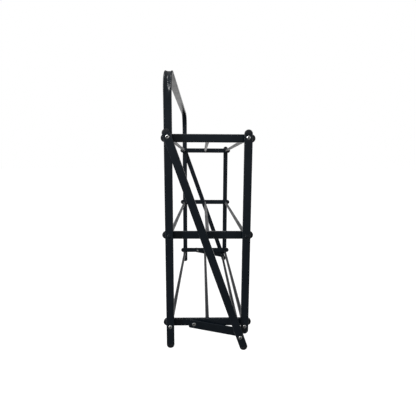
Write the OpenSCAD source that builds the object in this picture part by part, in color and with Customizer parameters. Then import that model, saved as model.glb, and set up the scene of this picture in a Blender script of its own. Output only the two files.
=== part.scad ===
// Folding three-tier luggage rack of flat steel tube and round steel rails.
//
// X runs across the rack, Y from the front (-Y) to the back (+Y), and Z up from the floor.
// The origin is on the floor, midway between the side frames and between the pivot lines.
//
// Each side frame is a flat stack of layers. From the inside out they are the tier bars, the
// stay, the front and back posts, and the leg. Every pivot runs through the stack along X.
// Each module below draws the right-hand piece (x > 0), and left() mirrors it.

/* [Side frames] */
// Distance between the back and front pivot lines
pivot_depth = 240; // [220:1:280]
// Clear width between the inner faces of the tier bars
inner_width = 856; // [500:1:1000]
// Height of the bottom tier's pivots
bottom_z = 73; // [70:1:90]
// How far the bottom bars' centre lines lie above their pivots
bottom_bar_rise = 4; // [0:0.5:5]
// Height of the middle tier's pivots
middle_z = 371; // [330:1:400]
// Height of the top tier's pivots
top_z = 672; // [640:1:700]
// Height of the bow that joins the two back posts
bow_z = 878; // [850:1:950]
// How far the front posts run on below the bottom pivots, to the centre of the round end
post_tail = 13; // [13:1:20]

/* [Flat tube] */
// Width of the tube
tube_w = 25; // [24:0.5:26]
// Thickness of the tube
tube_t = 10; // [9:0.5:11]
// Wall of the tube
tube_wall = 1.5; // [1:0.1:1.8]
// Radius of the tube's long edges
corner_r = 2.2; // [2:0.1:3]
// How far a tube runs on past its end pivot, to the centre of the round end
end_reach = 12; // [12:0.5:16]
// How much of a foot's round end is cut away to make its sole
sole_cut = 0.8; // [0.4:0.1:1.5]

/* [Bends of the bow] */
// Outer radius of the bends
bend_r = 72; // [60:1:90]
// Depth of the dish that the bending leaves in the tube's outer face
dish_depth = 5; // [2:0.5:5]
// Width of the dish
dish_w = 21; // [18:0.5:22]

/* [Rails] */
// Radius of the round rails
rail_r = 6.5; // [5.5:0.5:7]
// Wall of the round rails
rail_wall = 1; // [0.8:0.1:1.5]
// Length of the threaded plug in each end of a rail
rail_plug = 18; // [16:1:24]

/* [Leg and stay] */
// Distance from the back pivots forward to the foot rail
foot_rail_y = 225; // [215:1:228]
// Height of the foot rail
foot_rail_z = 43; // [40:1:46]
// Distance from the back pivots forward to the stay's rear screw
stay_from = 76; // [70:1:80]
// Width of the stay
stay_w = 27.5; // [22:0.5:28]
// Thickness of the stay
stay_t = 7; // [5:0.5:7]
// How far the stay runs on past its rear screw
stay_reach = 16; // [14:1:18]
// Radius of the corners at the stay's rear end
stay_corner_r = 5; // [2:0.5:10]

/* [Layers] */
// Gap between the tier bars and the posts, which the spacers fill
post_gap = 13; // [12.5:0.5:15]
// Gap between the posts and the legs
leg_gap = 4.5; // [4:0.5:6]
// Gap between two faces that slide over each other
face_gap = 0.3; // [0.2:0.05:0.4]
// Radial clearance of a turning fit
run = 0.05; // [0.02:0.01:0.1]

/* [Fasteners] */
// Radius of the screws
screw_r = 3; // [2.5:0.5:4]
// Radius of the screw heads
head_r = 6; // [5:0.5:6.5]
// Height of the screw heads
head_h = 3; // [2.5:0.5:3]
// Height of the heads that sit between two layers, and of the rivets
low_head_h = 2; // [1.5:0.5:2.5]
// Radius of the spacers
spacer_r = 8; // [6:0.5:9]

/* [Hidden] */
$fn = 72;

back_y = pivot_depth / 2;
front_y = -pivot_depth / 2;

// Layers of a side frame, measured outward along X
bar_in = inner_width / 2;
bar_out = bar_in + tube_t;
bar_x = bar_in + tube_t / 2;
post_in = bar_out + post_gap;
post_out = post_in + tube_t;
post_x = post_in + tube_t / 2;
leg_in = post_out + leg_gap;
leg_out = leg_in + tube_t;
leg_x = leg_in + tube_t / 2;
stay_in = bar_out + 2 * face_gap;
stay_out = stay_in + stay_t;

// Centre height of a foot's round end, so that its sole lies on the floor
foot_z = tube_w / 2 - sole_cut;

// The leg hangs from the top back pivot and leans forward to the foot rail
leg_angle = atan(foot_rail_y / (top_z - foot_rail_z));
leg_to_rail = (top_z - foot_rail_z) / cos(leg_angle);
leg_to_foot = (top_z - foot_z) / cos(leg_angle);

// The stay runs back and up from the foot rail to the bottom bar
stay_screw_y = back_y - stay_from;
stay_run = foot_rail_y - stay_from;
stay_rise = bottom_z - foot_rail_z;
stay_angle = atan(stay_rise / stay_run);
stay_length = norm([stay_run, stay_rise]);

// Centre lines of the bow and its bends
bend_mid_r = bend_r - tube_t / 2;
bend_x = post_x - bend_mid_r;
bend_z = bow_z - bend_r;
bow_mid_z = bow_z - tube_t / 2;

// The dish is a groove of round section. Its own sweep is flatter than the bend's, so that the
// groove is deepest halfway round and runs out at both ends.
dish_r = (pow(dish_w / 2, 2) + pow(dish_depth, 2)) / (2 * dish_depth);
dish_near = bend_r + dish_r - dish_depth;
dish_run_out = 1.1;
dish_shift = dish_run_out * dish_depth * dish_near / (dish_near - dish_depth) / (1 - cos(45));
dish_sweep_r = dish_near + dish_shift;

// The end caps' plugs clear the tube's inside by the slack, and a little more at their edges
plug_slack = 0.15;
plug_length = 6.5;
plug_w = tube_w - 2 * (tube_wall + plug_slack) - 1;
plug_t = tube_t - 2 * (tube_wall + plug_slack);

// Ends of the front posts' straight tubes
post_foot = bottom_z - post_tail;
post_head = top_z + end_reach;

// Distance from the middle of a bar to the end of its straight tube
bar_reach = pivot_depth / 2 + end_reach;

// The screws stop short of the bottom of the threaded plugs in the rails
plug_margin = 4;
post_screw_length = post_out - bar_in + rail_plug - plug_margin;

// A domed head: the share of its height that is dome, and its hexagon socket
dome_share = 0.8;
socket_floor = 0.4 * head_h;
socket_r = 0.45 * head_r;

washer_r = spacer_r + 1;
sleeve_r = 5;
thread_r = screw_r + run;
collar_r = 9;
collar_t = 3;
cut = 1;

module black_paint() color([0.09, 0.10, 0.12]) children();
module black_plastic() color([0.05, 0.05, 0.06]) children();
module zinc() color([0.78, 0.79, 0.80]) children();

// ---- Places ----

module left() mirror([1, 0, 0]) children();

module both_sides() {
    children();
    left() children();
}

// Puts a piece drawn at the top back pivot, with the leg hanging along -Z, into the leg's lean
module on_leg() {
    translate([leg_x, back_y, top_z])
        rotate([-leg_angle, 0, 0])
            children();
}

// Puts a piece drawn along +Y from the foot rail's axis into the stay's slope
module on_stay() {
    translate([stay_in, back_y - foot_rail_y, foot_rail_z])
        rotate([stay_angle, 0, 0])
            children();
}

// ---- Sections and shared shapes ----

// Rounded rectangle, t across and w along
module rounded_section(t, w, r) {
    square([t - 2 * r, w], center = true);
    square([t, w - 2 * r], center = true);
    for (x = [-1, 1], y = [-1, 1])
        translate([x * (t / 2 - r), y * (w / 2 - r)])
            circle(r);
}

module tube_outside() rounded_section(tube_t, tube_w, corner_r);

module tube_inside() {
    rounded_section(tube_t - 2 * tube_wall, tube_w - 2 * tube_wall, max(corner_r - tube_wall, 0.2));
}

module along_x(r, length) {
    rotate([0, 90, 0])
        cylinder(r = r, h = length);
}

module bore(r, length) {
    translate([-length / 2, 0, 0])
        along_x(r, length);
}

// Flat tube along Z from z0 to z1, with a sleeved bore along X at each height in pivots. The
// bores lie off the tube's centre line by off, along its width.
module drilled_tube(z0, z1, pivots, off = 0) {
    difference() {
        union() {
            translate([0, 0, z0])
                linear_extrude(z1 - z0)
                    difference() {
                        tube_outside();
                        tube_inside();
                    }
            for (z = pivots)
                translate([0, off, z])
                    bore(sleeve_r, tube_t - tube_wall);
        }
        for (z = pivots)
            translate([0, off, z])
                bore(thread_r, tube_t + 2 * cut);
    }
}

// Half of a cap's section, from its axis out to its round rim
module cap_half_section() {
    r = corner_r;
    translate([0, -tube_t / 2])
        square([tube_w / 2 - r, tube_t]);
    translate([0, -tube_t / 2 + r])
        square([tube_w / 2, tube_t - 2 * r]);
    for (y = [-1, 1])
        translate([tube_w / 2 - r, y * (tube_t / 2 - r)])
            circle(r);
}

// Round end cap for a tube whose end is at z = 0 and which runs up from there
module round_cap() {
    difference() {
        rotate([0, 90, 0])
            rotate_extrude()
                cap_half_section();
        translate([-tube_t, -tube_w, 0])
            cube([2 * tube_t, 2 * tube_w, tube_w]);
    }
    translate([-plug_t / 2, -plug_w / 2, -cut])
        cube([plug_t, plug_w, plug_length + cut]);
}

module below_floor() {
    translate([-2 * bar_in, -pivot_depth, -tube_w])
        cube([4 * bar_in, 2 * pivot_depth, tube_w]);
}

// Domed head on the YZ plane, facing +X
module domed_head(h) {
    rise = dome_share * h;
    dome_r = (pow(head_r, 2) + pow(rise, 2)) / (2 * rise);
    rotate([0, 90, 0])
        intersection() {
            cylinder(r = head_r, h = h);
            translate([0, 0, h - dome_r])
                sphere(dome_r);
        }
}

// Socket-head screw along X: its head bears on x = 0 and its shank runs to x = -length
module socket_screw(length, h) {
    difference() {
        union() {
            domed_head(h);
            translate([-length, 0, 0])
                along_x(screw_r, length);
        }
        translate([socket_floor * h / head_h, 0, 0])
            rotate([0, 90, 0])
                cylinder(r = socket_r, h = h, $fn = 6);
    }
}

module rivet(length) {
    domed_head(low_head_h);
    translate([-length, 0, 0])
        along_x(screw_r, length);
}

// Round rail along X, with a plug in each end that takes a screw
module screwed_rail(half_length) {
    difference() {
        bore(rail_r, 2 * half_length);
        bore(rail_r - rail_wall, 2 * (half_length - rail_plug));
        bore(thread_r, 2 * (half_length + cut));
    }
}

// ---- Back frame ----

// Sweeps a section up the right back post, round the bend and along half of the bow
module half_arch(from_z) {
    translate([post_x, 0, from_z])
        linear_extrude(bend_z - from_z)
            children();
    translate([bend_x, 0, bend_z])
        rotate([90, 0, 0])
            rotate_extrude(angle = 90)
                translate([bend_mid_r, 0])
                    children();
    translate([0, 0, bow_mid_z])
        rotate([0, 90, 0])
            linear_extrude(bend_x)
                children();
}

// Groove tool for the dish, made thicker by grow
module dish(grow) {
    inward = dish_shift / sqrt(2);
    translate([bend_x - inward, 0, bend_z - inward])
        rotate([90, 0, 0])
            rotate_extrude(angle = 90)
                translate([dish_sweep_r, 0])
                    circle(dish_r + grow);
}

module back_arch() {
    pivots = [bottom_z, middle_z, top_z];
    black_paint()
        translate([0, back_y, 0])
            difference() {
                union() {
                    difference() {
                        both_sides() half_arch(foot_z) tube_outside();
                        both_sides() dish(0);
                        difference() {
                            both_sides() half_arch(foot_z - cut) tube_inside();
                            both_sides() dish(tube_wall);
                        }
                    }
                    both_sides()
                        for (z = pivots)
                            translate([post_x, 0, z])
                                bore(sleeve_r, tube_t - tube_wall);
                }
                both_sides()
                    for (z = pivots)
                        translate([post_x, 0, z])
                            bore(thread_r, tube_t + 2 * cut);
            }
}

module back_foot() {
    black_plastic()
        difference() {
            translate([post_x, back_y, foot_z])
                round_cap();
            below_floor();
        }
}

// Rail between the bars of one tier, on the back pivots (y = back_y) or the front ones
module pivot_rail(y, z) {
    black_paint()
        translate([0, y, z])
            screwed_rail(bar_in - face_gap);
}

module post_screws(y, z) {
    zinc()
        both_sides()
            translate([post_out, y, z])
                socket_screw(post_screw_length, head_h);
}

module post_rivets(y, z) {
    black_paint()
        both_sides()
            translate([post_out, y, z])
                rivet(post_screw_length);
}

// The top back bolts also carry the legs
module top_back_bolts() {
    head_x = leg_out + face_gap;
    zinc()
        both_sides()
            translate([head_x, back_y, top_z])
                socket_screw(post_screw_length + head_x - post_out, head_h);
}

module ring(r, from_x, to_x) {
    translate([from_x, 0, 0])
        difference() {
            along_x(r, to_x - from_x);
            translate([-cut, 0, 0])
                along_x(thread_r, to_x - from_x + 2 * cut);
        }
}

// Spacers between the bars and the posts, on one pivot line
module spacers(y) {
    black_plastic()
        both_sides()
            for (z = [bottom_z, middle_z, top_z])
                translate([0, y, z])
                    ring(spacer_r, bar_out + face_gap, post_in);
}

module leg_washers() {
    black_plastic()
        both_sides()
            translate([0, back_y, top_z])
                ring(washer_r, post_out, leg_in - face_gap);
}

// ---- Front frame ----

module front_post() {
    black_paint()
        translate([post_x, front_y, 0])
            drilled_tube(post_foot, post_head, [bottom_z, middle_z, top_z]);
}

module front_post_top_caps() {
    black_plastic()
        both_sides()
            translate([post_x, front_y, post_head])
                mirror([0, 0, 1]) round_cap();
}

module front_post_bottom_caps() {
    black_plastic()
        both_sides()
            translate([post_x, front_y, post_foot])
                round_cap();
}

// ---- Tiers ----

// Right bar of a tier whose pivots are at height z. The bar's centre line lies above them by rise,
// and it is bored at each place along Y in bores.
module side_bar(z, rise = 0, bores = [front_y, back_y]) {
    black_paint()
        translate([bar_x, 0, z])
            difference() {
                translate([0, 0, rise])
                    rotate([-90, 0, 0])
                        drilled_tube(-bar_reach, bar_reach, bores, rise);
                translate([-tube_t / 2 - cut, 0, 0])
                    along_x(rail_r + run, tube_wall + cut);
            }
}

// The centre rail's ends sit in the bars' inner walls
module centre_rail(z) {
    half_length = bar_in + tube_wall;
    black_paint()
        translate([0, 0, z])
            difference() {
                bore(rail_r, 2 * half_length);
                bore(rail_r - rail_wall, 2 * (half_length + cut));
            }
}

// Right bar of the bottom tier, which the stay's screw goes through as well
module bottom_bar() side_bar(bottom_z, bottom_bar_rise, [front_y, stay_screw_y, back_y]);

// Low nuts of the stays' screws, on the inner faces of the bottom bars
module stay_nuts() {
    zinc()
        both_sides()
            translate([bar_in, stay_screw_y, bottom_z])
                mirror([1, 0, 0])
                    rivet(tube_t - face_gap);
}

module bar_caps(z, rise = 0) {
    black_plastic()
        both_sides()
            for (turn = [-90, 90])
                translate([bar_x, sign(turn) * bar_reach, z + rise])
                    rotate([turn, 0, 0])
                        round_cap();
}

// ---- Leg frame ----

module leg() {
    black_paint()
        on_leg() drilled_tube(-leg_to_foot, end_reach, [-leg_to_rail, 0]);
}

module leg_top_caps() {
    black_plastic()
        both_sides()
            on_leg()
                translate([0, 0, end_reach])
                    mirror([0, 0, 1]) round_cap();
}

module leg_foot() {
    black_plastic()
        difference() {
            on_leg()
                translate([0, 0, -leg_to_foot])
                    round_cap();
            below_floor();
        }
}

module foot_rail() {
    black_paint()
        translate([0, back_y - foot_rail_y, foot_rail_z])
            screwed_rail(leg_in);
}

module foot_screws() {
    zinc()
        both_sides()
            translate([leg_out, back_y - foot_rail_y, foot_rail_z])
                socket_screw(tube_t + rail_plug - plug_margin, head_h);
}

// Collars on the foot rail, one on each side of each stay
module stay_collars() {
    black_plastic()
        both_sides()
            for (x = [stay_in - face_gap - collar_t, stay_out + face_gap])
                translate([x, back_y - foot_rail_y, foot_rail_z])
                    difference() {
                        along_x(collar_r, collar_t);
                        translate([-cut, 0, 0])
                            along_x(rail_r + run, collar_t + 2 * cut);
                    }
}

// ---- Stays ----

// Outline of a stay, from its round front end to the rounded corners of its rear end
module stay_outline() {
    far_end = stay_length + stay_reach;
    straight_w = stay_w - 2 * stay_corner_r;
    circle(stay_w / 2);
    translate([0, -stay_w / 2])
        square([far_end - stay_corner_r, stay_w]);
    translate([0, -straight_w / 2])
        square([far_end, straight_w]);
    for (side = [-1, 1])
        translate([far_end - stay_corner_r, side * straight_w / 2])
            circle(stay_corner_r);
}

module stay() {
    black_paint()
        on_stay()
            difference() {
                rotate([90, 0, 90])
                    linear_extrude(stay_t)
                        stay_outline();
                translate([-cut, 0, 0])
                    along_x(rail_r + run, stay_t + 2 * cut);
                translate([-cut, stay_length, 0])
                    along_x(thread_r, stay_t + 2 * cut);
            }
}

// This screw turns with the stay and stops just short of the bar behind it
module stay_screw() {
    zinc()
        on_stay()
            translate([stay_t, stay_length, 0])
                socket_screw(stay_t + face_gap, low_head_h);
}

// ---- Nodes ----

back_arch();
left() back_foot();  // back_foot_left
back_foot();  // back_foot_right
pivot_rail(back_y, top_z);  // top_back_rail
pivot_rail(back_y, middle_z);  // middle_back_rail
pivot_rail(back_y, bottom_z);  // bottom_back_rail
top_back_bolts();
post_rivets(back_y, middle_z);  // middle_back_rivets
post_screws(back_y, bottom_z);  // bottom_back_screws
spacers(back_y);  // back_spacers
leg_washers();

left() front_post();  // front_post_left
front_post();  // front_post_right
front_post_top_caps();
front_post_bottom_caps();
pivot_rail(front_y, top_z);  // top_front_rail
pivot_rail(front_y, middle_z);  // middle_front_rail
pivot_rail(front_y, bottom_z);  // bottom_front_rail
post_screws(front_y, top_z);  // top_front_screws
post_rivets(front_y, middle_z);  // middle_front_rivets
post_screws(front_y, bottom_z);  // bottom_front_screws
spacers(front_y);  // front_spacers

left() side_bar(top_z);  // top_bar_left
side_bar(top_z);  // top_bar_right
centre_rail(top_z);  // top_centre_rail
bar_caps(top_z);  // top_bar_caps
left() side_bar(middle_z);  // middle_bar_left
side_bar(middle_z);  // middle_bar_right
centre_rail(middle_z);  // middle_centre_rail
bar_caps(middle_z);  // middle_bar_caps
left() bottom_bar();  // bottom_bar_left
bottom_bar();  // bottom_bar_right
centre_rail(bottom_z);  // bottom_centre_rail
bar_caps(bottom_z, bottom_bar_rise);  // bottom_bar_caps
stay_nuts();

left() leg();  // leg_left
leg();  // leg_right
leg_top_caps();
left() leg_foot();  // leg_foot_left
leg_foot();  // leg_foot_right
foot_rail();
foot_screws();
stay_collars();
left() stay();  // stay_left
stay();  // stay_right
left() stay_screw();  // stay_screw_left
stay_screw();  // stay_screw_right
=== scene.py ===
"""Folding three-tier luggage rack: bent flat tube, round rails, moulded end caps and zinc screws."""

import math

import bpy
import numpy as np
from mathutils import Matrix, Vector


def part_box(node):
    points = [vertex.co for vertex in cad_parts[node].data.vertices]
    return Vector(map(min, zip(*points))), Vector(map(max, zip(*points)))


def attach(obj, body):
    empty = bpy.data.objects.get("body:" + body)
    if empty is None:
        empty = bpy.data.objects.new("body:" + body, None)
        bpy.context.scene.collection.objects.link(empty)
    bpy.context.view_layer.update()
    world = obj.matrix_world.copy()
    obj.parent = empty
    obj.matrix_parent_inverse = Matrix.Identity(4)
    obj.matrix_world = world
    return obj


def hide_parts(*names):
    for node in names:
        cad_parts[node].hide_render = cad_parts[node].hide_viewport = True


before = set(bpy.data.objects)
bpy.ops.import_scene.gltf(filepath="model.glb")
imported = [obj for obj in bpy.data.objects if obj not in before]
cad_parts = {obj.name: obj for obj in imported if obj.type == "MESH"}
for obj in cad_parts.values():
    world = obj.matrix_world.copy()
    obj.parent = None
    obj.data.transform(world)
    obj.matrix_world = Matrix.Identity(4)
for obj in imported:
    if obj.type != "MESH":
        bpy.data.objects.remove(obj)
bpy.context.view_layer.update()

MM = 0.001
ACROSS = np.array([1.0, 0.0, 0.0])
BACKWARD = np.array([0.0, 1.0, 0.0])
UPWARD = np.array([0.0, 0.0, 1.0])


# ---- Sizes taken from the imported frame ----

def low(part):
    return np.array(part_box(part)[0])


def high(part):
    return np.array(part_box(part)[1])


def middle(part):
    return (low(part) + high(part)) / 2


TIERS = ("bottom", "middle", "top")
tier_z = {tier: middle(f"{tier}_back_rail")[2] for tier in TIERS}
back_y = middle("top_back_rail")[1]
front_y = middle("top_front_rail")[1]
foot_axis = middle("foot_rail")
bar_x = middle("top_bar_right")[0]
post_x = middle("front_post_right")[0]
leg_x = middle("leg_right")[0]
stay_x = middle("stay_right")[0]

tube_t = high("top_bar_right")[0] - low("top_bar_right")[0]
tube_w = high("top_bar_right")[2] - low("top_bar_right")[2]
bar_end = high("top_bar_right")[1]
post_foot = low("front_post_right")[2]
post_head = high("front_post_right")[2]
arch_foot = low("back_arch")[2]
bow_top = high("back_arch")[2]
rail_r = (high("top_back_rail")[2] - low("top_back_rail")[2]) / 2
spacer_r = (high("front_spacers")[1] - low("front_spacers")[1]) / 2
washer_r = (high("leg_washers")[1] - low("leg_washers")[1]) / 2
collar_r = (high("stay_collars")[1] - low("stay_collars")[1]) / 2
head_r = (high("foot_screws")[1] - low("foot_screws")[1]) / 2
stay_t = high("stay_right")[0] - low("stay_right")[0]
stay_r = foot_axis[2] - low("stay_right")[2]
stay_screw = middle("stay_screw_right")
lean = math.atan2(back_y - foot_axis[1], tier_z["top"] - foot_axis[2])
leg_down = np.array([0.0, -math.sin(lean), -math.cos(lean)])
leg_pivot = np.array([leg_x, back_y, tier_z["top"]])
sole_cut = 0.8 * MM
leg_reach = (tier_z["top"] - tube_w / 2 + sole_cut) / math.cos(lean)
end_reach = bar_end - back_y

# ---- Sizes chosen for the finish of the pieces ----

bend_r = 72 * MM
edge_r = 2.2 * MM
stay_corner_r = 5 * MM
stay_edge_r = 1.3 * MM
face_margin = 0.3 * MM
cap_edge_r = 2.6 * MM
cap_crown = 0.3 * MM
seam = 0.4 * MM
face_gap = 0.3 * MM
collar_t = 3 * MM
rail_chamfer = 0.4 * MM
sleeve_edge_r = 0.5 * MM

seat_depth = 0.25 * MM
seat_r = 9.5 * MM
seat_slope = 3 * MM

dish_depth = 5.2 * MM
dish_lead = 24 * MM
dish_rise = 52 * MM
dish_fade = 0.2
dish_half_width = 0.44 * tube_w
lip_swell = 0.35 * MM

shank_reach = 24 * MM
bolt_reach = 38 * MM
shank_chamfer = 0.6 * MM
head_underside = 0.3 * MM

bead_size = 2.1 * MM
bead_overlap = 0.2 * MM
bead_root = 1.2 * MM

REACH = 25 * MM
WELD = 1e-6


# ---- Sewing grids of points into meshes ----
# A grid is rows x columns x 5: a place, the nearness to an edge from 0 to 1, and the distance
# from the nearest pivot's axis as a share of REACH.

def welded(grids):
    """Joins grids into one closed shell. Four neighbouring points make a face and points that meet
    become one. The shell's volume, a sixth of the sum of a . (b x c) over its triangles, is
    positive once the faces point outwards."""
    points = np.concatenate([g.reshape(-1, 5) for g in grids])
    faces, start = [], 0
    for g in grids:
        i = np.arange(g.shape[0] * g.shape[1]).reshape(g.shape[:2]) + start
        faces.append(np.stack([i[:-1, :-1], i[1:, :-1], i[1:, 1:], i[:-1, 1:]], -1).reshape(-1, 4))
        start += i.size
    cell = np.floor(points[:, :3] / WELD + 0.37).astype(np.int64)
    _, first, back = np.unique(cell, axis=0, return_index=True, return_inverse=True)
    points, quads = points[first], back.reshape(-1)[np.concatenate(faces)]
    quads = quads[(quads[:, 0] != quads[:, 2]) & (quads[:, 1] != quads[:, 3])]
    doubled = quads == np.roll(quads, -1, axis=1)
    once = doubled.sum(1) == 1
    tris = np.concatenate([np.delete(quads[once & doubled[:, k]], k, axis=1) for k in range(4)])
    quads = quads[doubled.sum(1) == 0]
    corners = np.concatenate([tris, quads[:, :3], quads[:, [0, 2, 3]]])
    a, b, c = (points[corners[:, k], :3] for k in range(3))
    if np.einsum("ij,ij->", a, np.cross(b, c)) < 0:
        quads, tris = quads[:, ::-1], tris[:, ::-1]
    return points, quads, tris


def ringed(grid):
    """Closes a grid's columns into a ring by repeating the first one."""
    return np.concatenate([grid, grid[:, :1]], axis=1)


def marked(places, edge, ring):
    """Adds the two marks to a grid of places."""
    shape = places.shape[:2]
    marks = [np.broadcast_to(m, shape)[..., None] for m in (edge, np.clip(ring / REACH, 0, 1))]
    return np.concatenate([places, *marks], axis=-1)


def mirrored(grids):
    """The same grids on the other side frame."""
    return [g * np.array([-1.0, 1, 1, 1, 1]) for g in grids]


def on_both_sides(grids):
    return [grids, mirrored(grids)]


def piece(name, shells, material, slot, body, *nodes):
    """Makes one object out of closed shells. It rides on a body and stands for CAD nodes."""
    points, faces, start = [], [], 0
    for p, quads, tris in map(welded, shells):
        faces += (quads + start).tolist() + (tris + start).tolist()
        points.append(p)
        start += len(p)
    points = np.concatenate(points)
    mesh = bpy.data.meshes.new(name)
    mesh.from_pydata(points[:, :3], [], faces)
    for k, mark in enumerate(("edge", "ring")):
        layer = mesh.attributes.new(mark, "FLOAT", "POINT")
        layer.data.foreach_set("value", points[:, 3 + k].astype(np.float32))
    mesh.shade_smooth()
    mesh.set_sharp_from_angle(angle=math.radians(38))
    mesh.materials.append(material)
    made = bpy.data.objects.new(name, mesh)
    bpy.context.scene.collection.objects.link(made)
    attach(made, body)
    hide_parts(*nodes)
    return made


# ---- Flat tube ----

def smooth_step(x):
    x = np.clip(x, 0, 1)
    return x * x * (3 - 2 * x)


def section_walk():
    """Walks once round a rounded rectangle. Each point is a corner centre's share of the half
    thickness and half width, and the cosine and sine of the direction in which the surface faces."""
    turn = np.linspace(0, np.pi / 2, 8)
    wide = np.linspace(-0.965, 0.965, 17)
    narrow = np.linspace(-0.88, 0.88, 4)
    parts = []
    for quarter, flat in enumerate((narrow, wide, narrow, wide)):
        a_sign, b_sign = ((1, 1), (-1, 1), (-1, -1), (1, -1))[quarter]
        phi = turn + quarter * np.pi / 2
        ones = np.ones(len(turn))
        parts.append([ones * a_sign, ones * b_sign, np.cos(phi), np.sin(phi)])
        facing = (quarter + 1) * np.pi / 2
        side = np.ones(len(flat))
        run = flat if quarter >= 2 else -flat
        ab = [run, side * b_sign] if quarter % 2 == 0 else [side * a_sign, run]
        parts.append([*ab, side * round(math.cos(facing)), side * round(math.sin(facing))])
    return np.concatenate([np.stack(p) for p in parts], axis=1)


def section(t, w, r):
    """Thickness and width coordinates of a rounded rectangle's points. t, w and r are columns."""
    share_t, share_w, cos, sin = section_walk()
    return share_t * (t / 2 - r) + cos * r, share_w * (w / 2 - r) + sin * r


def rounded_end(f):
    """Distance from the end and inset of the stations of a quarter round of radius f."""
    turn = np.linspace(0, np.pi / 2, 4)
    return f * (1 - np.cos(turn)), f * (1 - np.sin(turn))


def stations(length, pivots):
    """Distances along a straight tube: close together at its ends and near its pivots."""
    near_end, _ = rounded_end(seam)
    near_pivot = np.linspace(-10.5, 10.5, 19) * MM
    spread = np.linspace(3 * MM, length - 3 * MM, max(int(length / (40 * MM)), 3))
    clear = np.all([abs(spread - p) > 12 * MM for p in pivots], axis=0) if pivots else spread > 0
    s = np.concatenate([near_end, length - near_end, spread[clear],
                        *[p + near_pivot for p in pivots]])
    return np.unique(s[(s >= 0) & (s <= length)].round(7))


def flat_tube(centre, out, side, s, pivots=(), dish=0.0, off=0.0):
    """Carries the tube's section along a path. A place is the path's point plus the thickness
    coordinate times out plus the width coordinate times side. The ends are drawn in by a quarter
    round and closed, the walls sink a little under the screws by a smooth step of the distance from
    the pivot. In a bend the outer wall sinks by the dish's depth times a squared cosine of the width
    coordinate, and its lips swell a little. The pivots lie off the centre line by off, along side."""
    length = s[-1]
    from_end = np.minimum(s, length - s)
    inset = seam - np.sqrt(np.clip(seam**2 - np.clip(seam - from_end, 0, None) ** 2, 0, None))
    squeeze = np.broadcast_to(dish, s.shape) / dish_depth
    t, w, r = tube_t - 2 * inset, tube_w - 2 * inset, edge_r * (1 + 0.5 * squeeze) - inset
    a, b = section(t[:, None], w[:, None], r[:, None])
    share_t, share_w, cos, sin = section_walk()
    outer = (cos > 0) & (share_t > 0)
    hollow = np.cos(np.pi / 2 * np.clip(b / dish_half_width, -1, 1)) ** 2
    a = a - np.where(outer, hollow * (squeeze * dish_depth)[:, None], 0)
    b = b + lip_swell * squeeze[:, None] * sin * np.abs(share_w)
    apart = [np.hypot(s[:, None] - p, b - off) for p in pivots] or [np.full(a.shape, REACH)]
    ring = np.min(apart, axis=0)
    seat = seat_depth * smooth_step((seat_r - ring) / seat_slope)
    a = a - seat * np.sign(a) * (np.abs(cos) > 0.99)
    places = centre[:, None] + a[..., None] * out[:, None] + b[..., None] * side
    # Nearness to an edge. The finish later lightens these edges as thinned coat and as painted
    # highlight.
    worn_and_lit = np.maximum(np.abs(2 * sin * cos), np.clip(1 - from_end / seam, 0, 1)[:, None])
    grid = marked(places, worn_and_lit, ring)
    ends = [np.repeat(marked(centre[[k]][:, None], 0, REACH), grid.shape[1], axis=1) for k in (0, -1)]
    return [ringed(np.concatenate([ends[0], grid, ends[1]]))]


def straight_tube(start, end, out, side, pivots=(), off=0.0):
    """Flat tube from start to end. The pivots are distances from start."""
    start, end = np.array(start), np.array(end)
    length = np.linalg.norm(end - start)
    s = stations(length, pivots)
    centre = start + s[:, None] / length * (end - start)
    return flat_tube(centre, np.tile(out, (len(s), 1)), side, s, pivots, off=off)


def arch_tube():
    """The back posts and bow: up one post, a quarter turn, across, a quarter turn and down again.
    The dish rises by a smooth step of the distance along the tube, from a little below each bend,
    and falls again by a smooth step of the angle just before the bend's end."""
    mid_r = bend_r - tube_t / 2
    rise = bow_top - bend_r - arch_foot
    post = stations(rise, [tier_z[t] - arch_foot for t in TIERS])
    post = np.concatenate([post[post < rise - 30 * MM], rise - np.linspace(28, 4, 9) * MM])
    turn = np.linspace(0, np.pi / 2, 33)
    span = post_x - mid_r
    bow = np.linspace(0, 2 * span, 41)[1:-1]
    bend_length = mid_r * np.pi / 2
    up = np.stack([np.full(len(post), -post_x), arch_foot + post], -1)
    bend = np.stack([-span - mid_r * np.cos(turn), bow_top - bend_r + mid_r * np.sin(turn)], -1)
    over = np.stack([bow - span, np.full(len(bow), bow_top - tube_t / 2)], -1)
    flip = np.array([-1.0, 1.0])
    xz = np.concatenate([up, bend, over, bend[::-1] * flip, up[::-1] * flip])
    face = np.concatenate([np.tile([-1.0, 0], (len(post), 1)),
                           np.stack([-np.cos(turn), np.sin(turn)], -1),
                           np.tile([0, 1.0], (len(bow), 1))])
    face = np.concatenate([face, face[:len(post) + len(turn)][::-1] * flip])
    total = 2 * (rise + bend_length + span)
    rising = np.concatenate([post, rise + mid_r * turn])
    s = np.concatenate([rising, rise + bend_length + bow, total - rising[::-1]])
    sunk = dish_depth * smooth_step((rising - rise + dish_lead) / dish_rise)
    sunk[len(post):] *= smooth_step((np.pi / 2 - turn) / dish_fade)
    dish = np.concatenate([sunk, bow * 0, sunk[::-1]])
    pivots = [tier_z[t] - arch_foot for t in TIERS]
    pivots += [total - p for p in pivots]
    centre = np.stack([xz[:, 0], np.full(len(xz), back_y), xz[:, 1]], -1)
    out = np.stack([face[:, 0], np.zeros(len(face)), face[:, 1]], -1)
    return flat_tube(centre, out, BACKWARD, s, pivots, dish)


# ---- Moulded end caps ----

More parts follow.
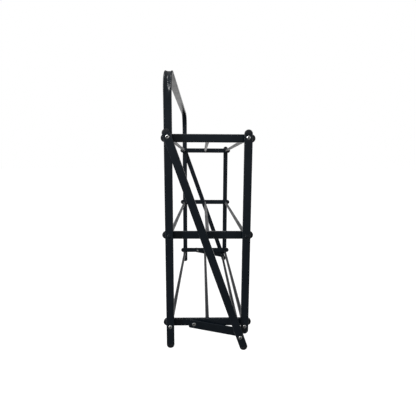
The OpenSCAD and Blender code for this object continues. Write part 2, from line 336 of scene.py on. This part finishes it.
def cap_half(radius, t, r):
    """Half of a cap's section, from its axis on the outer face, round the rim and back to the axis
    on the inner face: distance from the axis, thickness coordinate and nearness to an edge. The
    flat faces are crowned by one minus the square of the distance's share of the radius."""
    turn = np.linspace(0, np.pi / 2, 8)
    flat = np.linspace(0, 0.97, 8)
    rim = np.linspace(0.8, -0.8, 3)
    rho = np.concatenate([flat * (radius - r), radius - r + r * np.sin(turn), np.full(len(rim), radius)])
    a = np.concatenate([np.full(len(flat), t / 2), t / 2 - r + r * np.cos(turn), rim * (t / 2 - r)])
    edge = np.concatenate([flat * 0, np.sin(2 * turn), rim * 0])
    back = slice(None, None, -1)
    a = a + cap_crown * np.sign(a) * np.clip(1 - (rho / radius) ** 2, 0, 1)
    front = slice(0, len(flat) + len(turn))
    return (np.concatenate([rho, rho[front][back]]), np.concatenate([a, -a[front][back]]),
            np.concatenate([edge, edge[front][back]]))


def round_cap(centre, out, side, along, floor=False):
    """Turns half of the tube's section through half a turn about out, so that the cap bulges along
    the tube's direction, and adds a skirt that is drawn in where it meets the tube. A foot is cut
    off level with the floor."""
    radius = tube_w / 2
    theta = np.linspace(0, np.pi, 37)[:, None]
    squash = (radius - seam) / radius

    def loop(inset, height):
        rho, a, edge = cap_half(radius - inset, tube_t - 2 * inset, cap_edge_r - inset)
        rho, a, edge = np.concatenate([rho, -rho[::-1]]), np.concatenate([a, a[::-1]]), np.tile(edge, 2)
        return rho, a, edge, np.full(len(rho), height)

    rho, a, edge = cap_half(radius, tube_t, cap_edge_r)
    dome = [rho * np.cos(theta), a + 0 * theta, edge + 0 * theta, seam + rho * squash * np.sin(theta)]
    rows = [loop(i, d) for d, i in zip(*rounded_end(seam))]
    rows.insert(0, [0 * v for v in rows[0]])
    skirt = [np.stack(v) for v in zip(*rows)]
    skirt[2] = np.maximum(skirt[2], (skirt[3] < seam / 2) * 0.6)
    grids = []
    for width, thick, edge, height in (dome, skirt):
        places = (np.array(centre) + width[..., None] * side + thick[..., None] * out
                  + height[..., None] * along)
        if floor:
            edge = np.maximum(edge, smooth_step(1 - places[..., 2] / (4 * MM)))
            places[..., 2] = np.maximum(places[..., 2], 0)
        grids.append(marked(places, edge, REACH))
    return grids


# ---- Turned and plate parts ----

def turned(x, radius, axis, edge, six=0.0):
    """Turns a profile about the X direction through axis. Where six is 1 the round becomes a
    hexagon, whose radius is the flat's distance over the cosine of the angle from its middle."""
    theta = np.linspace(0, 2 * np.pi, 48, endpoint=False)
    flat = 1 / np.cos((theta + 1e-9) % (np.pi / 3) - np.pi / 6)
    six = six + 0 * radius
    r = radius[:, None] * (1 + six[:, None] * (flat - 1))
    places = np.stack([x[:, None] + 0 * r, axis[1] + r * np.cos(theta), axis[2] + r * np.sin(theta)], -1)
    return [ringed(marked(places, edge[:, None], r))]


def rod(x0, x1, r, axis):
    """Round bar or rail from x0 to x1 with quarter-round ends."""
    d, inset = rounded_end(rail_chamfer)
    run = np.linspace(x0, x1, 24)[1:-1]
    x = np.concatenate([[x0], x0 + d, run, x1 - d[::-1], [x1]])
    radius = np.concatenate([[0], r - inset, np.full(len(run), r), r - inset[::-1], [0]])
    near = inset / rail_chamfer
    edge = np.concatenate([[0], near, run * 0, near[::-1], [0]])
    return turned(x, radius, axis, edge)


def sleeve(x0, x1, r_in, r_out, axis):
    """Ring with quarter-round outer edges."""
    d, inset = rounded_end(sleeve_edge_r)
    x = np.concatenate([[x0], x0 + d, x1 - d[::-1], [x1, x0]])
    radius = np.concatenate([[r_in], r_out - inset, r_out - inset[::-1], [r_in, r_in]])
    near = inset / sleeve_edge_r
    edge = np.concatenate([[0], near, near[::-1], [0, 0]])
    return turned(x, radius, axis, edge)


def button_head(x, r, h, axis, shank, socket=True):
    """Button-headed screw: shank, underside, short rim, domed face, and a six-sided socket or a plain
    top. The dome's height falls with the square of the distance from the axis. Each point of the
    profile is a height, a distance from the axis, the share of a hexagon and nearness to an edge."""
    rho = np.linspace(0.985, 0.56, 9)
    shank_r = 0.5 * r
    start = [(-shank, 0, 0, 0), (-shank, shank_r * 0.85, 0, 1), (-shank + shank_chamfer, shank_r, 0, 0),
             (-head_underside, shank_r, 0, 0), (-head_underside, 0.93 * r, 0, 0),
             (0.1 * h, r, 0, 1), (0.22 * h, r, 0, 1)]
    if socket:
        crown = h * (0.30 + 0.70 * (1 - rho**2) / (1 - 0.56**2))
        dome = [(c, q * r, 0, 0.4) for c, q in zip(crown, rho)]
        well = [(h, 0.53 * r, 0.0, 1), (0.93 * h, 0.46 * r, 0.4, 1), (0.86 * h, 0.43 * r, 1, 0.6),
                (0.40 * h, 0.42 * r, 1, 0), (0.30 * h, 0.36 * r, 1, 0), (0.18 * h, 0, 1, 0)]
    else:
        rho = np.linspace(0.985, 0, 12)
        dome = [(h * (0.25 + 0.75 * (1 - q**2)), q * r, 0, 0.3) for q in rho]
        well = []
    height, radius, six, edge = np.array(start + dome + well).T
    return turned(x + height, radius, axis, edge, six)


def plate(x0, x1, a, b, r, corner_r):
    """Flat bar from a round end at a to a square end with round corners just past b. Its outline
    lies at distance r from the line between them, and across it the surface goes from that line on
    one face, round the edge, to the line on the other."""
    direction = (b - a) / np.linalg.norm(b - a)
    normal = np.cross(ACROSS, direction)
    turn = np.linspace(0, np.pi, 25)[:, None]
    along = np.linspace(0, 1, 16)[1:-1, None]
    round_end = -(direction * np.sin(turn) + normal * np.cos(turn))
    quarter = turn[:13]
    straight_r = 1 - corner_r / r
    rounding = normal * np.cos(quarter) + direction * np.sin(quarter)
    corner = straight_r * normal + (1 - straight_r) * rounding
    flat = (1 - straight_r) * direction + np.linspace(1, -1, 9)[1:-1, None] * straight_r * normal
    far_corner = (corner - 2 * (corner @ normal)[:, None] * normal)[::-1]
    square_end = np.concatenate([corner, flat, far_corner])
    heading = np.concatenate([square_end, np.tile(-normal, (len(along), 1)),
                              round_end, np.tile(normal, (len(along), 1))])
    spine = np.concatenate([np.tile(b, (len(square_end), 1)), b + along * (a - b),
                            np.tile(a, (len(turn), 1)), a + along * (b - a)])
    phi = np.linspace(0, np.pi / 2, 6)
    mid, half = (x0 + x1) / 2, (x1 - x0) / 2
    f = stay_edge_r
    rho = np.concatenate([[0, 0.5 * r, r - f - face_margin], r - f + f * np.sin(phi)])
    x = np.concatenate([[half] * 3, half - f + f * np.cos(phi)])
    edge = np.concatenate([[0] * 3, np.sin(2 * phi)])
    rho, x = np.concatenate([rho, rho[::-1]]), np.concatenate([x, -x[::-1]])
    edge = np.concatenate([edge, edge[::-1]])
    places = spine[:, None] + rho[:, None] * heading[:, None]
    places[..., 0] = mid + x
    ring = np.minimum(*(np.hypot(places[..., 1] - c[1], places[..., 2] - c[2])
                        for c in (foot_axis, stay_screw)))
    return [ringed(marked(places, edge, ring).transpose(1, 0, 2))]


def weld_bead(x, axis, toward):
    """Fillet weld where a rail meets a bar: a ring whose swell rises and falls as the absolute sine of
    the angle, one ripple for each dab."""
    theta = np.linspace(0, 2 * np.pi, 121)[:-1]
    ripple = 1 + 0.13 * np.abs(np.sin(9 * theta)) + 0.05 * np.sin(3 * theta + 1)
    phi = np.linspace(0, np.pi / 2, 7)[:, None]
    size = bead_size * ripple
    bulge = 1 - 0.16 * np.sin(2 * phi)
    out = rail_r - bead_overlap + size * np.cos(phi) * bulge
    step = size * np.sin(phi) * bulge
    out = np.concatenate([out, np.full((2, len(theta)), rail_r - bead_root), out[:1]])
    step = np.concatenate([step, step[-1:], step[:1] * 0, step[:1]])
    places = np.stack([x + toward * step, axis[1] + out * np.cos(theta),
                       axis[2] + out * np.sin(theta)], -1)
    return [ringed(marked(places, 0.2, REACH))]


# ---- Shared surface effects ----

def node(tree, kind, inputs=(), **settings):
    """Adds a shader node. Inputs are set by name or number, from a value or another node's output."""
    made = tree.nodes.new("ShaderNode" + kind)
    for key, value in settings.items():
        setattr(made, key, value)
    for key, value in dict(inputs).items():
        if isinstance(value, bpy.types.NodeSocket):
            tree.links.new(value, made.inputs[key])
        else:
            made.inputs[key].default_value = value
    return made


def arithmetic(tree, operation, *values, clamp=False):
    return node(tree, "Math", dict(enumerate(values)), operation=operation, use_clamp=clamp).outputs[0]


def ramp(tree, value, low_in, high_in, low_out=0.0, high_out=1.0):
    given = {"Value": value, "From Min": low_in, "From Max": high_in,
             "To Min": low_out, "To Max": high_out}
    return node(tree, "MapRange", given, interpolation_type="SMOOTHSTEP").outputs["Result"]


def blend_colour(tree, share, first, second):
    return node(tree, "Mix", {0: share, 6: first, 7: second}, data_type="RGBA").outputs[2]


def blend_value(tree, share, first, second):
    return node(tree, "Mix", {0: share, 2: first, 3: second}, data_type="FLOAT").outputs[0]


def noise(tree, where, scale, detail=3.0, rough=0.55):
    given = {"Vector": where, "Scale": scale, "Detail": detail, "Roughness": rough}
    return node(tree, "TexNoise", given).outputs["Fac"]


def effect(name, inputs, outputs, build):
    """Makes a shader node group with named sockets and fills it by calling build. An input is its
    title, its kind and its value at first."""
    tree = bpy.data.node_groups.new(name, "ShaderNodeTree")
    for title, kind, value in inputs:
        made = tree.interface.new_socket(title, in_out="INPUT", socket_type="NodeSocket" + kind)
        if value is not None:
            made.default_value = value
    for title in outputs:
        tree.interface.new_socket(title, in_out="OUTPUT", socket_type="NodeSocketFloat")
    given = tree.nodes.new("NodeGroupInput").outputs
    result = tree.nodes.new("NodeGroupOutput").inputs
    for title, value in build(tree, given).items():
        tree.links.new(value, result[title])
    return tree


def orange_peel(tree, given):
    """Low mounds of a sprayed coat with a finer grain on them, and a slow cloudiness."""
    mounds = noise(tree, given["Where"], given["Mounds"], 1.0)
    grain = noise(tree, given["Where"], given["Grain"], 2.0)
    return {"Height": arithmetic(tree, "MULTIPLY_ADD", grain, 0.35, mounds),
            "Cloud": noise(tree, given["Where"], given["Clouds"], 4.0, 0.6)}


def edge_wear_and_highlight(tree, given):
    """Thin broken patches along edges where handling has thinned the finish. Their lighter colour is
    partly that thinning and partly painted highlight on the edges.
    """
    broken = noise(tree, given["Where"], 95.0, 5.0, 0.68)
    patches = noise(tree, given["Where"], 9.0, 2.0)
    both = arithmetic(tree, "ADD", arithmetic(tree, "MULTIPLY", broken, 0.75),
                      arithmetic(tree, "MULTIPLY", patches, 0.45))
    light_edge_patches = arithmetic(tree, "MULTIPLY", ramp(tree, given["Edge"], 0.25, 1.0),
                        ramp(tree, both, 0.60, 0.78))
    return {"Worn": arithmetic(tree, "MULTIPLY", light_edge_patches, given["Amount"], clamp=True)}


def dust_and_top_light(tree, given):
    """Light grey on upward faces in soft specks, more thickly in patches: partly a dusting that settles
    there and partly painted light from above on the tops.
    """
    upward = ramp(tree, node(tree, "SeparateXYZ", {0: given["Normal"]}).outputs["Z"], 0.35, 0.95)
    specks = ramp(tree, noise(tree, given["Where"], 700.0, 4.0, 0.7), 0.5, 0.74)
    patches = ramp(tree, noise(tree, given["Where"], 21.0, 3.0), 0.35, 0.7, 0.25, 1.0)
    film = arithmetic(tree, "MULTIPLY_ADD", specks, 0.6, 0.4)
    amount = arithmetic(tree, "MULTIPLY", arithmetic(tree, "MULTIPLY", film, patches), given["Amount"])
    return {"Dust": arithmetic(tree, "MULTIPLY", upward, amount, clamp=True)}


def pivot_rub(tree, given):
    """Scuffed band round a pivot, where the next layer turns on it."""
    inner = ramp(tree, given["Ring"], 0.25, 0.30)
    outer = ramp(tree, given["Ring"], 0.34, 0.44, 1.0, 0.0)
    broken = ramp(tree, noise(tree, given["Where"], 260.0, 4.0, 0.65), 0.38, 0.68)
    return {"Rubbed": arithmetic(tree, "MULTIPLY", arithmetic(tree, "MULTIPLY", inner, outer), broken)}


WHERE = ("Where", "Vector", None)
peel_effect = effect("orange_peel", [WHERE, ("Mounds", "Float", 420.0), ("Grain", "Float", 2600.0),
                                     ("Clouds", "Float", 14.0)], ["Height", "Cloud"], orange_peel)
wear_and_highlight_effect = effect("edge_wear_and_highlight", [WHERE, ("Edge", "Float", 0.0), ("Amount", "Float", 1.0)],
                     ["Worn"], edge_wear_and_highlight)
dust_and_top_light_effect = effect("dust_and_top_light", [WHERE, ("Normal", "Vector", None), ("Amount", "Float", 0.3)],
                     ["Dust"], dust_and_top_light)
rub_effect = effect("pivot_rub", [WHERE, ("Ring", "Float", 1.0)], ["Rubbed"], pivot_rub)


def placed(tree, group, **inputs):
    """Places a node group with its own values and gives its outputs."""
    return node(tree, "Group", inputs, node_tree=group).outputs


def opaque(colour):
    return (*colour, 1.0)


# Light grey for upward faces: a dusting, and painted light from above.
DUST_AND_TOP_LIGHT_COLOUR = (0.30, 0.29, 0.28)
BLUE_BLOOM = (0.46, 0.49, 0.52)
STRAW_BLOOM = (0.54, 0.52, 0.47)
# Near black for painted shade inside the screws' sockets.
SOCKET_SHADE_COLOUR = (0.015, 0.015, 0.016)
PEEL_DEPTH = 0.25 * MM
SCRATCH_DEPTH = 0.08 * MM


def coated_black(name, colours, wear_and_highlight_colour, roughness, gloss, peel, wear_and_highlight_amount, dust, bump):
    """Black finish of two shades that drift into each other, with its peel, edges lightened in broken
    patches as thinned coat and as painted highlight, scuffed pivots, and upward faces lightened as a
    dusting and as painted top light. Roughness is given as its lowest and highest value, and peel as
    the scales of its mounds, grain and clouds."""
    material = bpy.data.materials.new(name)
    material.use_nodes = True
    tree = material.node_tree
    shader = tree.nodes["Principled BSDF"]
    coordinates = node(tree, "TexCoord").outputs
    where, normal = coordinates["Object"], coordinates["Normal"]
    edge = node(tree, "Attribute", attribute_name="edge").outputs["Fac"]
    ring = node(tree, "Attribute", attribute_name="ring").outputs["Fac"]
    coat = placed(tree, peel_effect, Where=where, Mounds=peel[0], Grain=peel[1], Clouds=peel[2])
    worn_and_lit = placed(tree, wear_and_highlight_effect, Where=where, Edge=edge, Amount=wear_and_highlight_amount)["Worn"]
    rubbed = placed(tree, rub_effect, Where=where, Ring=ring)["Rubbed"]
    dusty_and_lit = placed(tree, dust_and_top_light_effect, Where=where, Normal=normal, Amount=dust)["Dust"]
    drift = ramp(tree, coat["Cloud"], 0.35, 0.65)
    shade = blend_colour(tree, drift, opaque(colours[0]), opaque(colours[1]))
    shade = blend_colour(tree, arithmetic(tree, "MULTIPLY", rubbed, 0.35), shade, opaque(wear_and_highlight_colour))
    # Painted highlight: edges turn lighter in broken patches, partly thinned coat and partly painted
    # highlight.
    shade = blend_colour(tree, worn_and_lit, shade, opaque(wear_and_highlight_colour))
    # Painted top light: upward faces turn light grey in specks and patches, partly a dusting and partly
    # painted light from above.
    shade = blend_colour(tree, dusty_and_lit, shade, opaque(DUST_AND_TOP_LIGHT_COLOUR))
    tree.links.new(shade, shader.inputs["Base Color"])
    dull = ramp(tree, coat["Cloud"], 0.3, 0.7, roughness[0], roughness[1])
    dull = arithmetic(tree, "MULTIPLY_ADD", dusty_and_lit, 0.4, dull, clamp=True)
    dull = arithmetic(tree, "MULTIPLY_ADD", rubbed, -0.08, dull, clamp=True)
    tree.links.new(dull, shader.inputs["Roughness"])
    height = arithmetic(tree, "MULTIPLY_ADD", worn_and_lit, -0.5, coat["Height"])
    relief = node(tree, "Bump", {"Height": height, "Strength": bump, "Distance": PEEL_DEPTH})
    tree.links.new(relief.outputs["Normal"], shader.inputs["Normal"])
    shader.inputs["Specular IOR Level"].default_value = gloss
    return material


def zinc_plate():
    """Bright zinc: fine turned rings, faint blue and straw blooms, and painted shade in the socket."""
    material = bpy.data.materials.new("bright_zinc_plate")
    material.use_nodes = True
    tree = material.node_tree
    shader = tree.nodes["Principled BSDF"]
    where = node(tree, "TexCoord").outputs["Object"]
    ring = node(tree, "Attribute", attribute_name="ring").outputs["Fac"]
    bloom = ramp(tree, noise(tree, where, 260.0, 3.0), 0.35, 0.65)
    plate_colour = blend_colour(tree, bloom, opaque(BLUE_BLOOM), opaque(STRAW_BLOOM))
    # Painted shade: close to the axis, inside the socket, the plate turns near black and stops being
    # metallic.
    socket_shade = ramp(tree, ring, 0.105, 0.125, 0.92, 0.0)
    plate_colour = blend_colour(tree, socket_shade, plate_colour, opaque(SOCKET_SHADE_COLOUR))
    tree.links.new(plate_colour, shader.inputs["Base Color"])
    tree.links.new(arithmetic(tree, "SUBTRACT", 1.0, socket_shade, clamp=True), shader.inputs["Metallic"])
    scratch = noise(tree, where, 1800.0, 4.0, 0.7)
    tree.links.new(ramp(tree, scratch, 0.3, 0.7, 0.20, 0.38), shader.inputs["Roughness"])
    rings = arithmetic(tree, "SINE", arithmetic(tree, "MULTIPLY", ring, 420.0))
    height = arithmetic(tree, "MULTIPLY_ADD", rings, 0.25, scratch)
    relief = node(tree, "Bump", {"Height": height, "Strength": 0.25, "Distance": SCRATCH_DEPTH})
    tree.links.new(relief.outputs["Normal"], shader.inputs["Normal"])
    return material


coat_frame = coated_black(
    "black_powder_coat", colours=[(0.0048, 0.0084, 0.0128), (0.0072, 0.0112, 0.0166)],
    wear_and_highlight_colour=(0.045, 0.048, 0.055), roughness=(0.20, 0.28), gloss=0.30,
    peel=(420.0, 2600.0, 14.0), wear_and_highlight_amount=0.55, dust=0.05, bump=0.2)
coat_rail = coated_black(
    "black_powder_coat_rails", colours=[(0.008, 0.010, 0.014), (0.012, 0.014, 0.018)],
    wear_and_highlight_colour=(0.05, 0.05, 0.055), roughness=(0.26, 0.36), gloss=0.16,
    peel=(520.0, 3000.0, 11.0), wear_and_highlight_amount=0.4, dust=0.06, bump=0.3)
plastic = coated_black(
    "black_moulded_plastic", colours=[(0.0072, 0.0092, 0.0125), (0.0100, 0.0122, 0.0158)],
    wear_and_highlight_colour=(0.05, 0.05, 0.052), roughness=(0.36, 0.50), gloss=0.35,
    peel=(900.0, 4200.0, 22.0), wear_and_highlight_amount=0.35, dust=0.07, bump=0.45)
zinc = zinc_plate()
STEEL, PLASTIC, ZINC = "black_powder_coat", "black_plastic", "zinc_plate"


# ---- Back frame ----

def side_of(name):
    return -1.0 if name == "left" else 1.0


def at(x, y, z):
    return np.array([x, y, z])


def pivot_axis(end, tier):
    return at(0, back_y if end == "back" else front_y, tier_z[tier])


def fastener(name, axis, seat_x, socket=True, shank=shank_reach):
    """Screw or rivet on the right-hand side, as high as its CAD node and bearing on seat_x."""
    tall = high(name)[0] - seat_x
    return button_head(seat_x, head_r, tall, axis, shank, socket)


piece("back_arch_tube", [arch_tube()], coat_frame, STEEL, "back_frame", "back_arch")
for hand in ("left", "right"):
    foot = round_cap(at(post_x, back_y, arch_foot), ACROSS, BACKWARD, -UPWARD, floor=True)
    piece(f"back_foot_cap_{hand}", [foot if hand == "right" else mirrored(foot)], plastic, PLASTIC,
          "back_frame", f"back_foot_{hand}")


def pivot_hardware(end, body):
    """Rails, spacers and the low fasteners on one pivot line."""
    for tier in TIERS:
        name = f"{tier}_{end}_rail"
        rail = rod(low(name)[0], high(name)[0], rail_r, pivot_axis(end, tier))
        piece(f"{name}_tube", [rail], coat_rail, STEEL, body, name)
    spacers = f"{end}_spacers"
    inner, outer = bar_x + tube_t / 2 + face_gap, high(spacers)[0]
    rings = [sleeve(inner, outer, rail_r / 2, spacer_r, pivot_axis(end, tier)) for tier in TIERS]
    piece(f"{end}_spacer_rings", [s for r in rings for s in on_both_sides(r)], plastic, PLASTIC,
          body, spacers)
    rivets = f"middle_{end}_rivets"
    rivet = fastener(rivets, pivot_axis(end, "middle"), post_x + tube_t / 2, socket=False)
    piece(f"middle_{end}_rivet_heads", on_both_sides(rivet), coat_frame, STEEL, body, rivets)
    screws = f"bottom_{end}_screws"
    screw = fastener(screws, pivot_axis(end, "bottom"), post_x + tube_t / 2)
    piece(f"bottom_{end}_button_screws", on_both_sides(screw), zinc, ZINC, body, screws)


pivot_hardware("back", "back_frame")
bolt_seat = leg_x + tube_t / 2 + face_gap
bolt = fastener("top_back_bolts", pivot_axis("back", "top"), bolt_seat, shank=bolt_reach)
piece("top_back_button_bolts", on_both_sides(bolt), zinc, ZINC, "back_frame", "top_back_bolts")
washer = sleeve(post_x + tube_t / 2, high("leg_washers")[0], rail_r / 2, washer_r,
                pivot_axis("back", "top"))
piece("leg_washer_rings", on_both_sides(washer), plastic, PLASTIC, "back_frame", "leg_washers")

# ---- Front frame ----

for hand in ("left", "right"):
    x = side_of(hand) * post_x
    post = straight_tube(at(x, front_y, post_foot), at(x, front_y, post_head), ACROSS, BACKWARD,
                         [tier_z[t] - post_foot for t in TIERS])
    piece(f"front_post_{hand}_tube", [post], coat_frame, STEEL, "front_frame", f"front_post_{hand}")
top_cap = round_cap(at(post_x, front_y, post_head), ACROSS, BACKWARD, UPWARD)
piece("front_post_top_end_caps", on_both_sides(top_cap), plastic, PLASTIC, "front_frame",
      "front_post_top_caps")
low_cap = round_cap(at(post_x, front_y, post_foot), ACROSS, BACKWARD, -UPWARD)
piece("front_post_bottom_end_caps", on_both_sides(low_cap), plastic, PLASTIC, "front_frame",
      "front_post_bottom_caps")
pivot_hardware("front", "front_frame")
screw = fastener("top_front_screws", pivot_axis("front", "top"), post_x + tube_t / 2)
piece("top_front_button_screws", on_both_sides(screw), zinc, ZINC, "front_frame", "top_front_screws")

# ---- Tiers ----

for tier in TIERS:
    body, z = f"{tier}_tier", tier_z[tier]
    bar_z = middle(f"{tier}_bar_right")[2]
    for hand in ("left", "right"):
        x = side_of(hand) * bar_x
        bar = straight_tube(at(x, -bar_end, bar_z), at(x, bar_end, bar_z), ACROSS, UPWARD,
                            [end_reach, 2 * bar_end - end_reach], z - bar_z)
        piece(f"{tier}_bar_{hand}_tube", [bar], coat_frame, STEEL, body, f"{tier}_bar_{hand}")
    inner = bar_x - tube_t / 2
    rail = rod(-inner - bead_overlap, inner + bead_overlap, rail_r, at(0, 0, z))
    beads = on_both_sides(weld_bead(inner, at(0, 0, z), -1.0))
    piece(f"{tier}_centre_rail_tube", [rail, *beads], coat_rail, STEEL, body, f"{tier}_centre_rail")
    caps = [round_cap(at(bar_x, way * bar_end, bar_z), ACROSS, UPWARD, way * BACKWARD)
            for way in (-1.0, 1.0)]
    piece(f"{tier}_bar_end_caps", [s for c in caps for s in on_both_sides(c)], plastic, PLASTIC, body,
          f"{tier}_bar_caps")

# The nuts face inward, so each is a head for the left bar's inner face and its mirror image
nut_h = high("stay_screw_right")[0] - high("stay_right")[0]
nut_shank = tube_t - 0.5 * MM
nut = button_head(tube_t / 2 - bar_x, head_r, nut_h, at(0, *stay_screw[1:]), nut_shank, socket=False)
piece("stay_screw_nuts", on_both_sides(nut), zinc, ZINC, "bottom_tier", "stay_nuts")

# ---- Leg frame ----

leg_side = np.cross(ACROSS, leg_down)
leg_top = leg_pivot - end_reach * leg_down
leg_end = leg_pivot + leg_reach * leg_down
rail_at = (tier_z["top"] - foot_axis[2]) / math.cos(lean) + end_reach
leg = straight_tube(leg_top, leg_end, ACROSS, leg_side, [end_reach, rail_at])
leg_foot = round_cap(leg_end, ACROSS, leg_side, leg_down, floor=True)
for hand, turn in (("left", mirrored), ("right", list)):
    piece(f"leg_{hand}_tube", [turn(leg)], coat_frame, STEEL, "leg_frame", f"leg_{hand}")
    piece(f"leg_foot_cap_{hand}", [turn(leg_foot)], plastic, PLASTIC, "leg_frame", f"leg_foot_{hand}")
leg_cap = round_cap(leg_top, ACROSS, leg_side, -leg_down)
piece("leg_top_end_caps", on_both_sides(leg_cap), plastic, PLASTIC, "leg_frame", "leg_top_caps")
foot_rail = rod(low("foot_rail")[0], high("foot_rail")[0], rail_r, foot_axis)
piece("foot_rail_tube", [foot_rail], coat_rail, STEEL, "leg_frame", "foot_rail")
screw = fastener("foot_screws", foot_axis, leg_x + tube_t / 2)
piece("foot_button_screws", on_both_sides(screw), zinc, ZINC, "leg_frame", "foot_screws")
stay_in, stay_out = stay_x - stay_t / 2, stay_x + stay_t / 2
collars = [sleeve(x, x + collar_t, rail_r, collar_r, foot_axis)
           for x in (stay_in - face_gap - collar_t, stay_out + face_gap)]
piece("stay_collar_rings", [s for c in collars for s in on_both_sides(c)], plastic, PLASTIC, "leg_frame",
      "stay_collars")

# ---- Stays ----

slope = math.atan2(stay_screw[2] - foot_axis[2], stay_screw[1] - foot_axis[1])
stay_tip_y = high("stay_right")[1] - stay_corner_r - (stay_r - stay_corner_r) * math.sin(slope)
stay_tip = at(stay_x, stay_tip_y, foot_axis[2] + (stay_tip_y - foot_axis[1]) * math.tan(slope))
stay = plate(stay_in, stay_out, at(stay_x, *foot_axis[1:]), stay_tip, stay_r, stay_corner_r)
screw = fastener("stay_screw_right", stay_screw, stay_out, shank=stay_t)
for hand, turn in (("left", mirrored), ("right", list)):
    piece(f"stay_{hand}_bar", [turn(stay)], coat_frame, STEEL, f"{hand}_stay", f"stay_{hand}")
    piece(f"stay_{hand}_button_screw", [turn(screw)], zinc, ZINC, f"{hand}_stay", f"stay_screw_{hand}")


# ---- Floor, light and camera ----

def floor_sheet(half):
    """Flat square sheet of four corners."""
    mesh = bpy.data.meshes.new("floor")
    corners = half * np.array([[-1.0, -1, 0], [1, -1, 0], [1, 1, 0], [-1, 1, 0]])
    mesh.from_pydata(corners, [], [(0, 1, 2, 3)])
    made = bpy.data.objects.new("floor", mesh)
    bpy.context.scene.collection.objects.link(made)
    return made


def white_floor():
    """Dull pale floor with enough glow of its own to stay even under the lamps."""
    material = bpy.data.materials.new("white_floor")
    material.use_nodes = True
    shader = material.node_tree.nodes["Principled BSDF"]
    shader.inputs["Base Color"].default_value = (0.30, 0.30, 0.30, 1)
    shader.inputs["Roughness"].default_value = 0.9
    shader.inputs["Specular IOR Level"].default_value = 0.1
    shader.inputs["Emission Color"].default_value = (1, 1, 1, 1)
    shader.inputs["Emission Strength"].default_value = 0.93
    return material


FLOOR_HALF = 30.0
floor = floor_sheet(FLOOR_HALF)
floor.data.materials.append(white_floor())
floor.visible_glossy = floor.visible_diffuse = False


def softbox(name, place, target, width, height, power):
    """Square-cornered area lamp that faces its target."""
    lamp = bpy.data.lights.new(name, "AREA")
    lamp.shape = "RECTANGLE"
    lamp.size, lamp.size_y, lamp.energy = width, height, power
    made = bpy.data.objects.new(name, lamp)
    made.location = place
    made.rotation_euler = (Vector(target) - Vector(place)).to_track_quat("-Z", "Y").to_euler()
    bpy.context.scene.collection.objects.link(made)


rack_middle = Vector((0, 0, bow_top / 2))
bow_bend = (-post_x, back_y, bow_top)
softbox("overhead_softbox", (-0.5, 0.05, 2.6), rack_middle, width=0.9, height=0.5, power=11)
softbox("strip_softbox", (-1.35, 1.3, 1.6), bow_bend, width=0.3, height=1.9, power=34)
softbox("right_softbox", (-1.5, -2.3, 1.3), rack_middle, width=0.6, height=1.2, power=6)

# The backdrop is white where it is seen directly. As light it is strong low down on the far side
# and weak overhead, with a soft glow from the near side.
world = bpy.data.worlds.new("white_studio")
bpy.context.scene.world = world
world.use_nodes = True
sky = world.node_tree
backing = sky.nodes["Background"]
seen = node(sky, "SeparateXYZ", {0: node(sky, "TexCoord").outputs["Generated"]}).outputs
behind = ramp(sky, seen["X"], -0.2, 1.0)
above = ramp(sky, seen["Z"], 0.08, 0.46, 0.88, 0.14)
front = ramp(sky, seen["Z"], -0.5, 0.6, 0.16, 0.45)
room_light = blend_value(sky, behind, front, above)
straight_on = node(sky, "LightPath").outputs["Is Camera Ray"]
backing.inputs["Color"].default_value = (1, 1, 1, 1)
sky.links.new(blend_value(sky, straight_on, room_light, 1.0), backing.inputs["Strength"])

camera = bpy.data.objects.new("camera", bpy.data.cameras.new("camera"))
camera.data.sensor_width = 36.0
camera.data.lens = 26.81
eye = Vector((-1.3987, 0.0187, 0.5942))
aim = Vector((0.0, -0.0090, 0.3958))
roll = math.radians(0.258)
facing = (aim - eye).to_track_quat("-Z", "Y").to_matrix().to_4x4()
camera.matrix_world = Matrix.Translation(eye) @ facing @ Matrix.Rotation(roll, 4, "Z")
camera.data.clip_start, camera.data.clip_end = 0.05, 100.0
bpy.context.scene.collection.objects.link(camera)
bpy.context.scene.camera = camera
bpy.context.scene.view_settings.view_transform = "Standard"
